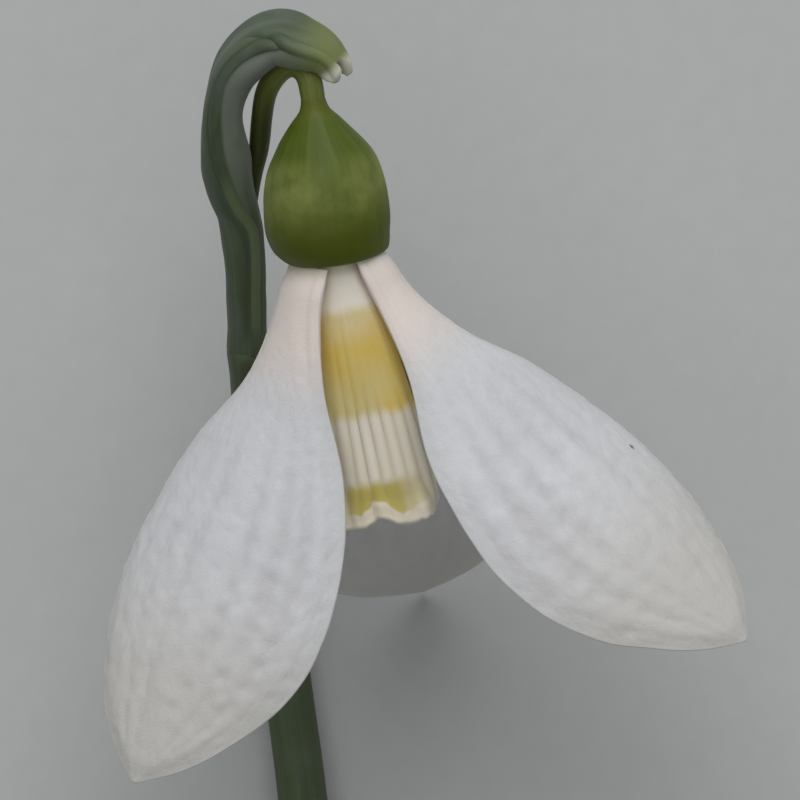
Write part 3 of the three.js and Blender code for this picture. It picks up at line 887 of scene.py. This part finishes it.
# Rings crowd towards both ends, where the outline turns fastest.
down = -0.3 + (OVARY_LENGTH + 0.3) * (1 - np.cos(np.linspace(0, pi, RINGS))) / 2
axis = np.stack([down * 0, through(BOW_AT, BOW)(down), down - OVARY_LENGTH - OVARY_LIFT], -1)
down = down[:, None]
turn = 2 * pi * np.arange(SIDES)[None] / SIDES
lines = LINE_HEIGHT * np.cos(LINES * turn)
lines = lines + FURROW_HEIGHT * uneven(turn * 24 / (2 * pi), turn * 0 + 0.5, 51)
lines = lines * ease(1.2, 4.0, down) * (1 - 0.6 * ease(7, 8, down))
lumps = LUMP_HEIGHT * uneven(down / LUMP_SIZE, 3 + 1.5 * np.cos(turn), 53)
radii = np.clip(through(DOWN_AT, OVARY_RADII)(down) + (lines + lumps) * ease(0, 1, down), 0.2, None)
matrix = nodding(OVARY_LEAN)
ovary = loft(
    "ovary_body",
    placed(axis, matrix),
    radii,
    matrix[:, 1],
    {
        "around_mm": np.minimum(turn, 2 * pi - turn) * 3,
        "along_mm": down,
        "neck": 0.9 * (1 - ease(0.0, 1.0, down)),
        # darker towards the petals: partly a deeper green of the tissue, partly painted shade
        "ripe": 0.88 * ease(3.3, 7.0, down),
        # the bloom band over the middle is partly real wax and partly a painted highlight
        "waxy": ease(1.9, 3.5, down) * (1 - ease(4.6, 7.2, down)),
    },
    np.tile(matrix[:, 2], (RINGS, 1)),
)
dress(ovary, "ovary", OVARY_SKIN)

# %% [markdown]
# ## Flower stalk
#
# The pedicel is the thin, springy stalk on which the flower nods. It leaves the sheath, turns over and
# widens into the ovary. It is lofted along its path. A curve with a round bevel would give the same
# tube, but not the faint unevenness that it has here.

# %% Loft the stalk
PEDICEL_PATH = [
    [-4.75, -4.0, -7.15],
    [-4.7, -1.8, -5.9],
    [-4.76, 0.5, -4.62],
    [-4.75, 1.8, -3.93],
    [-4.6, 2.9, -3.45],
    [-4.32, 4.6, -2.66],
    [-4.02, 5.8, -1.8],
    [-3.82, 7.3, -0.6],
    [-3.6, 8.4, 0.3],
    [-3.2, 9.1, 1.05],
    [-2.6, 9.6, 1.75],
    [-2.05, 9.65, 2.13],
    [-1.6, 9.35, 2.32],
    [-1.38, 8.93, 2.33],
    [-1.285, 8.5, 2.28],
    [-1.184, 7.83, 2.122],
    [-1.14, 7.5, 2.03],
]
UP = np.array([0.0, 0.0, 1.0])


def rings_along(path, radius_at, rings, sides, relief):
    """Centres and radii of rings, and how far along and round each of their points lies.

    relief(along, turn) is added to the radius.
    """
    t = np.linspace(0, 1, rings)
    centres = curve_of(path)(t) + RECEPTACLE
    length = np.sum(np.linalg.norm(np.diff(centres, axis=0), axis=1))
    turn = 2 * pi * np.arange(sides)[None] / sides
    along = (t * length)[:, None]
    return centres, radius_at(t)[:, None] + relief(along, turn), along, turn


centres, radii, along, turn = rings_along(
    PEDICEL_PATH,
    through([0, 0.35, 0.6, 0.85, 0.95, 1], [0.4, 0.42, 0.52, 0.58, 0.61, 0.58]),
    rings=150,
    sides=28,
    relief=lambda along, turn: 0.02 * uneven(along / 1.5, 3 + np.cos(turn) * 1.4, 61),
)
stalk = loft(
    "flower_stalk",
    centres,
    radii,
    UP,
    {
        "around_mm": np.minimum(turn, 2 * pi - turn) * 0.6,
        "along_mm": along,
        "waxy": ease(4, 14, along) * 0.5,
        # painted shade on the stalk where the sheath hides it
        "sheathed": 0.8 * (1 - ease(12.5, 16.5, along)),
    },
)
dress(stalk, "pedicel", STALK_SKIN)

# %% [markdown]
# ## Sheath
#
# The sheath is two bracts grown together along their sides. Each has a thick green keel down its back,
# and thin, pale, see-through skin joins them. It clasps the stalk like a channel, open towards the
# flower, and ends in two blunt white tips, the near one lying over the far one. It is a blade like a
# petal: the grid runs along the arch and round it, and keels, fold and overlap are moved out of it.

# %% Sheath path and widths
SPATHE_PATH = [
    [-4.75, -4.2, -7.3],
    [-4.7, -1.8, -5.9],
    [-4.76, 0.5, -4.6],
    [-4.97, 2.5, -3.4],
    [-5.44, 4.1, -2.3],
    [-5.53, 6.25, -0.9],
    [-5.28, 8.2, 0.4],
    [-4.86, 9.5, 1.1],
    [-3.95, 10.45, 1.6],
    [-2.95, 10.85, 2.0],
    [-1.85, 10.6, 2.2],
    [-0.9, 10.2, 2.15],
    [-0.3, 9.5, 2.0],
    [-0.05, 8.6, 1.65],
]
ARCH_TILT = np.radians(31)  # the arch's plane leans by this from the surface
ARCH_SIDE = np.array([0, -np.sin(ARCH_TILT), np.cos(ARCH_TILT)])
spathe_radius = through([0, 0.06, 0.3, 0.5, 0.7, 0.85, 1], [0.9, 0.85, 0.9, 1.22, 1.14, 1.05, 0.55])
spathe_depth = through([0, 0.6, 0.8, 1], [1, 1, 1.46, 1.46])
near_edge = through(
    [0, 0.27, 0.34, 0.41, 0.48, 0.56, 0.615, 0.67, 0.74, 0.84, 0.92, 1],
    [178, 175, 164, 167, 162, 142, 123, 122, 126, 130, 130, 125],
)
far_edge = through([0, 0.1, 0.2, 0.32, 0.5, 1], [-178, -170, -142, -97, -92, -80])
spathe_reach = through(
    [-1, -0.3, -0.05, 0.12, 0.25, 0.36, 0.6, 0.8, 0.93, 1],
    [0.85, 0.972, 0.966, 0.952, 0.945, 0.945, 0.969, 0.96, 0.93, 0.86],
)
# Where features run: degrees round the sheath, from its back, for stations along it.
near_keel = through(
    [0, 0.15, 0.25, 0.32, 0.37, 0.41, 0.52, 0.65, 0.8, 1],
    [115, 113, 119, 118, 100, 94, 72, 54, 58, 66],
)
far_keel = through([0, 0.25, 0.5, 0.75, 1], [-105, -85, -52, -34, -24])
split_line = through([0.79, 0.83, 0.86, 0.9, 0.94, 1], [26, 40, 52, 57, 58, 60])
fold_line = through([24, 42, 56, 68], [0.79, 0.81, 0.83, 0.855])


# %% [markdown]
# What stands out of the smooth arch is placed by angle round it and distance along it: two keels, the
# step where one tip overlaps the other, a fold beside it, and the crinkles of thin, dry skin.

# %% What stands out of the sheath
KEEL_WIDTH = 7  # degrees, as the other numbers beside an angle are


def sheath_relief(t, v, angle):
    """How far keels, overlap, fold and crinkles stand out of the smooth arch."""
    keels = 0.13 * np.exp(-(((angle - near_keel(t)) / KEEL_WIDTH) ** 2))
    keels += 0.15 * np.exp(-(((angle - far_keel(t)) / KEEL_WIDTH) ** 2))
    keels *= ease(0.0, 0.08, t) * (1 - 0.6 * ease(0.85, 1, t))
    beyond = angle - split_line(t)
    overlap = 0.22 * ease(-2, 4, beyond) * np.exp(-np.maximum(beyond, 0) / 40)
    overlap -= 0.07 * np.exp(-(((beyond + 4) / 4) ** 2))
    overlap *= ease(0.8, 0.86, t)
    fold = -0.2 * np.exp(-(((t - fold_line(angle)) / 0.011) ** 2))
    fold *= ease(16, 36, angle)
    fold *= 1 - ease(60, 80, angle)
    bulge = 0.16 * np.exp(-(((t - 0.76) / 0.06) ** 2) - ((angle - 88) / 22) ** 2)
    crinkle = 0.035 * uneven(t * 26, v * 5 + 7, 71) + 0.09 * uneven(t * 7, v * 2.5 + 5, 72)
    ruffle = 0.06 * uneven(t * 16, np.sign(v) * 3 + 9, 73) * ease(0.85, 1, abs(v))
    return keels + overlap + fold + bulge + (crinkle + ruffle) * ease(0.02, 0.15, t)


# %% [markdown]
# The same two numbers say where the colours lie: pale thin skin beyond each keel and, more faintly,
# between them, a green band along the near keel, partly its own green and partly painted shade, a
# light streak on it, and the white tips.

# %% Where its colours and its thin skin lie
SHEATH_LENGTH, SHEATH_RADIUS = 23, 1.2  # mm, about


def sheath_values(t, v, angle):
    """The mesh values that the sheath's skin reads, and the share of thin, see-through skin."""
    from_keel = angle - near_keel(t)
    skin = ease(9, 20, from_keel) + ease(9, 20, far_keel(t) - angle)
    skin += 0.5 * np.exp(-(((angle - 8) / 16) ** 2)) * ease(0.3, 0.5, t) * (1 - ease(0.75, 0.9, t))
    skin *= ease(0.3, 0.55, t) * (1 - ease(0.84, 0.94, t))
    skin = np.clip(skin, 0, 1)
    # The near keel shows as a pale streak low down, beside a band of painted shade on its shadow side;
    # higher up the band is the keel's own darker green.
    low = 1 - ease(0.38, 0.52, t)
    streak = 0.6 * low * np.exp(-((from_keel / KEEL_WIDTH) ** 2)) * ease(0.02, 0.1, t)
    green_and_shade_band = 0.6 * low * np.exp(-(((from_keel + 26) / 13) ** 2)) * ease(0.02, 0.1, t)
    high = ease(0.35, 0.5, t) * (1 - ease(0.72, 0.85, t))
    green_and_shade_band += 0.75 * high * np.exp(-(((from_keel + 9) / 9) ** 2))
    to_tip = 0.97 - t
    values = {
        "around_mm": np.radians(angle) * SHEATH_RADIUS,
        "along_mm": t * SHEATH_LENGTH,
        "waxy": (0.55 + 0.45 * ease(0.55, 0.75, t)) * (1 - 0.5 * ease(0.85, 0.95, t)),
        "membrane": skin * 0.85,
        "keel_green_and_shade": green_and_shade_band,
        "streak": streak,
        "tip": 0.85 * ease(0.13, 0.05, to_tip),
        "white": ease(0.031, 0.012, to_tip) * (1 - 0.6 * ease(0.72, 0.9, v)),
    }
    return values, skin


# %% Model the sheath
SHEATH_ROWS, SHEATH_COLUMNS = 180, 130
SHEATH_HALF_WIDTH = 3.0  # mm round the arch, about
SHEATH_EDGE, SHEATH_THICKENING = 0.2, 0.22  # mm thick at its edge, and how much more further in


def sheath():
    row = np.linspace(0, 1, SHEATH_ROWS + 1)[:, None]
    v = np.linspace(-1, 1, SHEATH_COLUMNS + 1)[None] * np.ones_like(row)
    t = row - (1 - np.minimum(spathe_reach(v), 1)) * row**4
    curve = curve_of(SPATHE_PATH)
    ahead = curve(np.minimum(t + 0.002, 1)) - curve(np.maximum(t - 0.002, 0))
    ahead /= np.linalg.norm(ahead, axis=-1, keepdims=True)
    side = ARCH_SIDE - ahead * (ahead @ ARCH_SIDE)[..., None]
    side /= np.linalg.norm(side, axis=-1, keepdims=True)
    out = np.cross(side, ahead)
    angle = np.where(v < 0, -v * far_edge(t), v * near_edge(t))
    radius = spathe_radius(t) + sheath_relief(t, v, angle)
    turn = np.radians(angle)
    arm = np.cos(turn)[..., None] * out + (spathe_depth(t) * np.sin(turn))[..., None] * side
    grid = curve(t) + radius[..., None] * arm + RECEPTACLE
    values, skin = sheath_values(t, v, angle)
    edge = (1 - abs(v)) * SHEATH_HALF_WIDTH
    thickness = (SHEATH_EDGE + SHEATH_THICKENING * ease(0, 0.5, edge)) * (1 - 0.25 * skin)
    thickness = thickness + 0.12 * values["white"]
    return blade("sheath_valves", grid, thickness, values)


dress(sheath(), "spathe", SHEATH_SKIN)

# %% [markdown]
# ## Stem
#
# The scape is a leafless stem, nearly round, with three faint edges and a waxy bloom that rubs off in
# places. It was cut straight across: the cut shows pale, moist tissue, slightly sunken
# because the outer rind is firmer than the pith. The last rings of the loft make that end.

# %% Loft the stem
SCAPE_PATH = [
    [-4.74, -3.8, -7.0],
    [-4.76, -4.45, -7.45],
    [-4.65, -7, -9.1],
    [-4.45, -10.5, -11.8],
    [-4.1, -14.5, -15.2],
    [-3.7, -17.6, -17.2],
    [-3.1, -21.5, -17.93],
    [-2.3, -27.5, -17.6],
    [-1.1, -40, -17.3],
    [-0.7, -58, -17.25],
    [-1.8, -78, -17.78],
]
STEM_RINGS = 340
# The cut: rings that close the end, as shares of its radius, how far each is sunken and how bare.
CUT_RINGS = np.array([0.97, 0.9, 0.8, 0.6, 0.35, 0.1])[:, None]
SUNKEN = np.array([0.0, 0.03, 0.09, 0.14, 0.16, 0.16])[:, None]
BARE = [0.5, 0.75, 1, 1, 1, 1]


def stem_relief(along, turn):
    """Three faint edges, and two kinds of unevenness."""
    edges = 0.045 * np.cos(3 * turn + 0.5)
    fine = 0.018 * uneven(along / 9, turn * 12 / (2 * pi), 81)
    return edges + fine + 0.04 * uneven(along / 6, 3 + np.cos(turn), 82)


centres, radii, along, turn = rings_along(
    SCAPE_PATH,
    through([0, 0.003, 0.007, 0.012, 0.025, 0.05, 0.3, 1], [0.85, 1.0, 1.14, 1.15, 1.08, 1.07, 1.3, 1.46]),
    rings=STEM_RINGS,
    sides=48,
    relief=stem_relief,
)
ahead = np.gradient(centres, axis=0)
end = centres[-1] - SUNKEN * ahead[-1] / np.linalg.norm(ahead[-1])
centres = np.concatenate([centres, end])
ahead = np.concatenate([ahead, np.repeat(ahead[-1:], len(CUT_RINGS), 0)])
radii = np.concatenate([radii, radii[-1:] * CUT_RINGS])
along = np.concatenate([along, np.repeat(along[-1:], len(CUT_RINGS), 0)])
stem = loft(
    "stem_body",
    centres,
    radii,
    UP,
    {
        "around_mm": np.minimum(turn, 2 * pi - turn) * 1.3,
        "along_mm": along,
        "waxy": 0.55 + 0.4 * uneven(along / 7, turn * 2, 83) + 0.2 * (1 - ease(1, 5, along)),
        "cut": np.concatenate([np.zeros(STEM_RINGS), BARE])[:, None],
    },
    ahead,
)
dress(stem, "scape", STEM_SKIN)

# %% [markdown]
# ## Stamens and style
#
# Inside the cup six slender orange-yellow anthers stand round a white style, each on a short filament.
# A snowdrop's anthers open by pores at their pointed tips. Each anther is two lobes with a furrow
# between, so its rings are drawn out of round; all six and the ring they grow from are one piece.

# %% Pollen-yellow material
DUST_PER_METRE = 6000.0  # 0.17 mm; real pollen is far finer, too fine to show


def anther_material():
    material, tree, shader = new_material(
        "anther_tissue_pollen_yellow",
        {"Roughness": 0.62, "IOR": 1.45, "Subsurface Weight": 0.15, "Subsurface Scale": 0.0004},
    )
    place = add(tree, "TexCoord").outputs["Object"]
    dust = add(
        tree, "TexNoise", {"Scale": DUST_PER_METRE, "Detail": 3.0, "Roughness": 0.6}, {"Vector": place}
    ).outputs["Fac"]
    tip = add(tree, "Attribute", attribute_name="tip").outputs["Fac"]
    filament = add(tree, "Attribute", attribute_name="filament").outputs["Fac"]
    layers = [("#e3a844", dust, 0.35, 0.7, 1.0, "LINEAR"), ("#e8d28c", tip), ("#dfe2c4", filament)]
    tree.links.new(layered(tree, "#c9822a", layers), shader.inputs["Base Color"])
    bump = add(tree, "Bump", {"Strength": 0.5, "Distance": 0.00003}, {"Height": dust})
    tree.links.new(bump.outputs["Normal"], shader.inputs["Normal"])
    return material


ANTHER_YELLOW = anther_material()
STYLE_WHITE = green_skin(
    "style_tissue_greenish_white",
    base="#d9dcc4",
    line="#e6e7d6",
    bloom="#e9e9df",
    overlays={"neck": "#b9c293"},
    roughness=0.45,
    lines_mm=0.2,
    bloom_most=0.3,
)
print("made", ANTHER_YELLOW.name, "and", STYLE_WHITE.name)


# %% Six stamens on one ring
STAMENS = 6
STAMEN_FOOT, STAMEN_TOP = 0.3, 6.4  # mm from the receptacle
STAMEN_OUT = 0.87  # mm from the axis; the tips lean in
STAMEN_AT = [0.3, 1.5, 1.9, 2.6, 4.4, 5.7, 6.3, 6.4]
STAMEN_RADII = [0.17, 0.14, 0.36, 0.42, 0.4, 0.22, 0.09, 0.03]
STAMEN_RINGS, STAMEN_SIDES, BASE_SIDES = 60, 20, 48
# The ring that they grow from: radii and heights of a closed profile.
BASE_RADII = np.array([0.5, 0.62, 1.0, 1.15, 1.05, 0.8, 0.56])[:, None]
BASE_HEIGHTS = np.array([0.15, -0.05, -0.05, 0.2, 0.62, 0.78, 0.62])[:, None]


def base_ring():
    """Points and faces of the ring."""
    angle = 2 * pi * np.arange(BASE_SIDES)[None] / BASE_SIDES
    heights = BASE_HEIGHTS + angle * 0
    points = np.stack([BASE_RADII * np.cos(angle), BASE_RADII * np.sin(angle), heights], -1)
    corner = np.arange(heights.size).reshape(heights.shape)
    onward = np.roll(corner, -1, 1)
    faces = np.stack([corner, onward, np.roll(onward, -1, 0), np.roll(corner, -1, 0)], -1)
    return points.reshape(-1, 3), faces.reshape(-1, 4).tolist()


def stamens():
    height = np.linspace(STAMEN_FOOT, STAMEN_TOP, STAMEN_RINGS)
    angle = 2 * pi * np.arange(STAMEN_SIDES) / STAMEN_SIDES
    lobed = 1 + 0.2 * ease(1.7, 2.4, height)[:, None] * np.cos(2 * angle)[None]
    radii = through(STAMEN_AT, STAMEN_RADII)(height)[:, None] * lobed
    line = np.stack([STAMEN_OUT - 0.1 * ease(4, STAMEN_TOP, height), height * 0, height], -1)
    bare, tip = 1 - ease(1.5, 1.9, height), ease(5.6, 6.3, height)
    shapes = []
    for k in range(STAMENS):
        place = turning(2, 30 + 60 * k)
        shapes.append(loft_parts(line @ place.T, radii, place[:, 0]))
    shapes.append(base_ring())
    points, faces = [], []
    for shape_points, shape_faces in shapes:
        start = sum(map(len, points))
        faces += [[corner + start for corner in face] for face in shape_faces]
        points.append(shape_points)
    base = np.ones(len(points[-1]))
    values = {
        "filament": np.concatenate([np.tile(np.repeat(bare, STAMEN_SIDES), STAMENS), base]),
        "tip": np.concatenate([np.tile(np.repeat(tip, STAMEN_SIDES), STAMENS), base * 0]),
    }
    return make_mesh("stamens_six", placed(np.concatenate(points), nodding(HEAD_LEAN)), faces, values)


dress(stamens(), "stamens", ANTHER_YELLOW)

# %% [markdown]
# The style is a plain white column, longer than the anthers and a little swollen below its tip, which
# catches the pollen. It is turned like the ovary.

# %% The style
STYLE_LENGTH = 8.8
STYLE_RINGS, STYLE_SIDES = 60, 24
STYLE_AT, STYLE_RADII = [0, 4, 7.6, 8.3, 8.7, 8.8], [0.23, 0.2, 0.29, 0.26, 0.14, 0.04]

height = np.linspace(0.0, STYLE_LENGTH, STYLE_RINGS)
matrix = nodding(HEAD_LEAN)
style = loft(
    "style_column",
    placed(np.stack([height * 0, height * 0, height], -1), matrix),
    through(STYLE_AT, STYLE_RADII)(height)[:, None] * np.ones((1, STYLE_SIDES)),
    matrix[:, 1],
    {
        "around_mm": np.arange(STYLE_SIDES)[None] / 16,
        "along_mm": height[:, None],
        "waxy": 0,
        "neck": 0.7 * (1 - ease(0, 2.5, height))[:, None],
    },
)
dress(style, "style", STYLE_WHITE)

# %% [markdown]
# ## Studio
#
# The flower lies on a plain pale surface under large soft lights. The main light comes from beyond the
# ovary, as daylight does on a hanging flower, so ribs and dimples cast soft shade towards the tips. A
# grey world fills in from everywhere. The camera looks straight down through a long lens, which keeps
# the nodding head's proportions.

# %% The floor
FLOOR_SPREAD = 1.5
FLOOR_DROP = 0.00006  # so that nothing lies exactly in it
FIBRES_PER_METRE = 700.0  # 1.4 mm; the paper's real fibres are too fine to show


def floor():
    material, tree, shader = new_material("studio_paper_pale_grey", {"Roughness": 0.9})
    place = add(tree, "TexCoord").outputs["Object"]
    fibre = add(
        tree, "TexNoise", {"Scale": FIBRES_PER_METRE, "Detail": 3.0, "Roughness": 0.6}, {"Vector": place}
    ).outputs["Fac"]
    tree.links.new(layered(tree, "#c4c6c6", [("#cbcccc", fibre)]), shader.inputs["Base Color"])
    mesh = bpy.data.meshes.new("studio_floor")
    corners = [(FLOOR_SPREAD * x, FLOOR_SPREAD * y, 0) for x, y in ((-1, -1), (1, -1), (1, 1), (-1, 1))]
    mesh.from_pydata(corners, [], [[0, 1, 2, 3]])
    mesh.materials.append(material)
    piece = bpy.data.objects.new("studio_floor", mesh)
    piece.location.z = -FLOOR_DROP
    bpy.context.scene.collection.objects.link(piece)


floor()
print("the floor is", 2 * FLOOR_SPREAD, "m wide")


# %% Lights and air
def soft_light(name, place, aim, size, watts):
    """A round lamp at a place in metres, turned to what it lights."""
    light = bpy.data.lights.new(name, "AREA")
    light.shape, light.size, light.energy = "DISK", size, watts
    lamp = bpy.data.objects.new(name, light)
    bpy.context.scene.collection.objects.link(lamp)
    lamp.location = place
    lamp.rotation_euler = (Vector(aim) - Vector(place)).to_track_quat("-Z", "Y").to_euler()


HEART = tuple((RECEPTACLE * MM).tolist())
soft_light("window_beyond", (0, 0.42, 0.36), HEART, 0.55, 1.65)
soft_light("overhead", (-0.04, 0.02, 0.6), HEART, 0.8, 0.85)
world = bpy.data.worlds.new("studio_air")
world.use_nodes = True
world.node_tree.nodes["Background"].inputs["Color"].default_value = linear("#ecedf0")
world.node_tree.nodes["Background"].inputs["Strength"].default_value = 0.18
bpy.context.scene.world = world
bpy.context.scene.view_settings.view_transform = "Standard"
print("two soft lights aim at", tuple(round(c, 4) for c in HEART))

# %% [markdown]
# The camera hangs over the flower. Its focal length follows from how wide a field it has to see.

# %% The camera
SENSOR = 36  # mm
CAMERA_OVER = (-0.0012, 0.0259)  # x and y of the spot under it, in metres
CAMERA_ABOVE = 0.222  # metres above the receptacle
FIELD = 0.04  # metres that it sees across, at the receptacle's height

camera = bpy.data.cameras.new("camera")
camera.sensor_width, camera.lens = SENSOR, SENSOR * CAMERA_ABOVE / FIELD
camera.clip_start, camera.clip_end = 0.01, 20
lens = bpy.data.objects.new("camera", camera)
lens.location = (*CAMERA_OVER, HEART[2] + CAMERA_ABOVE)
bpy.context.scene.collection.objects.link(lens)
bpy.context.scene.camera = lens
print("camera", tuple(round(c, 4) for c in lens.location))
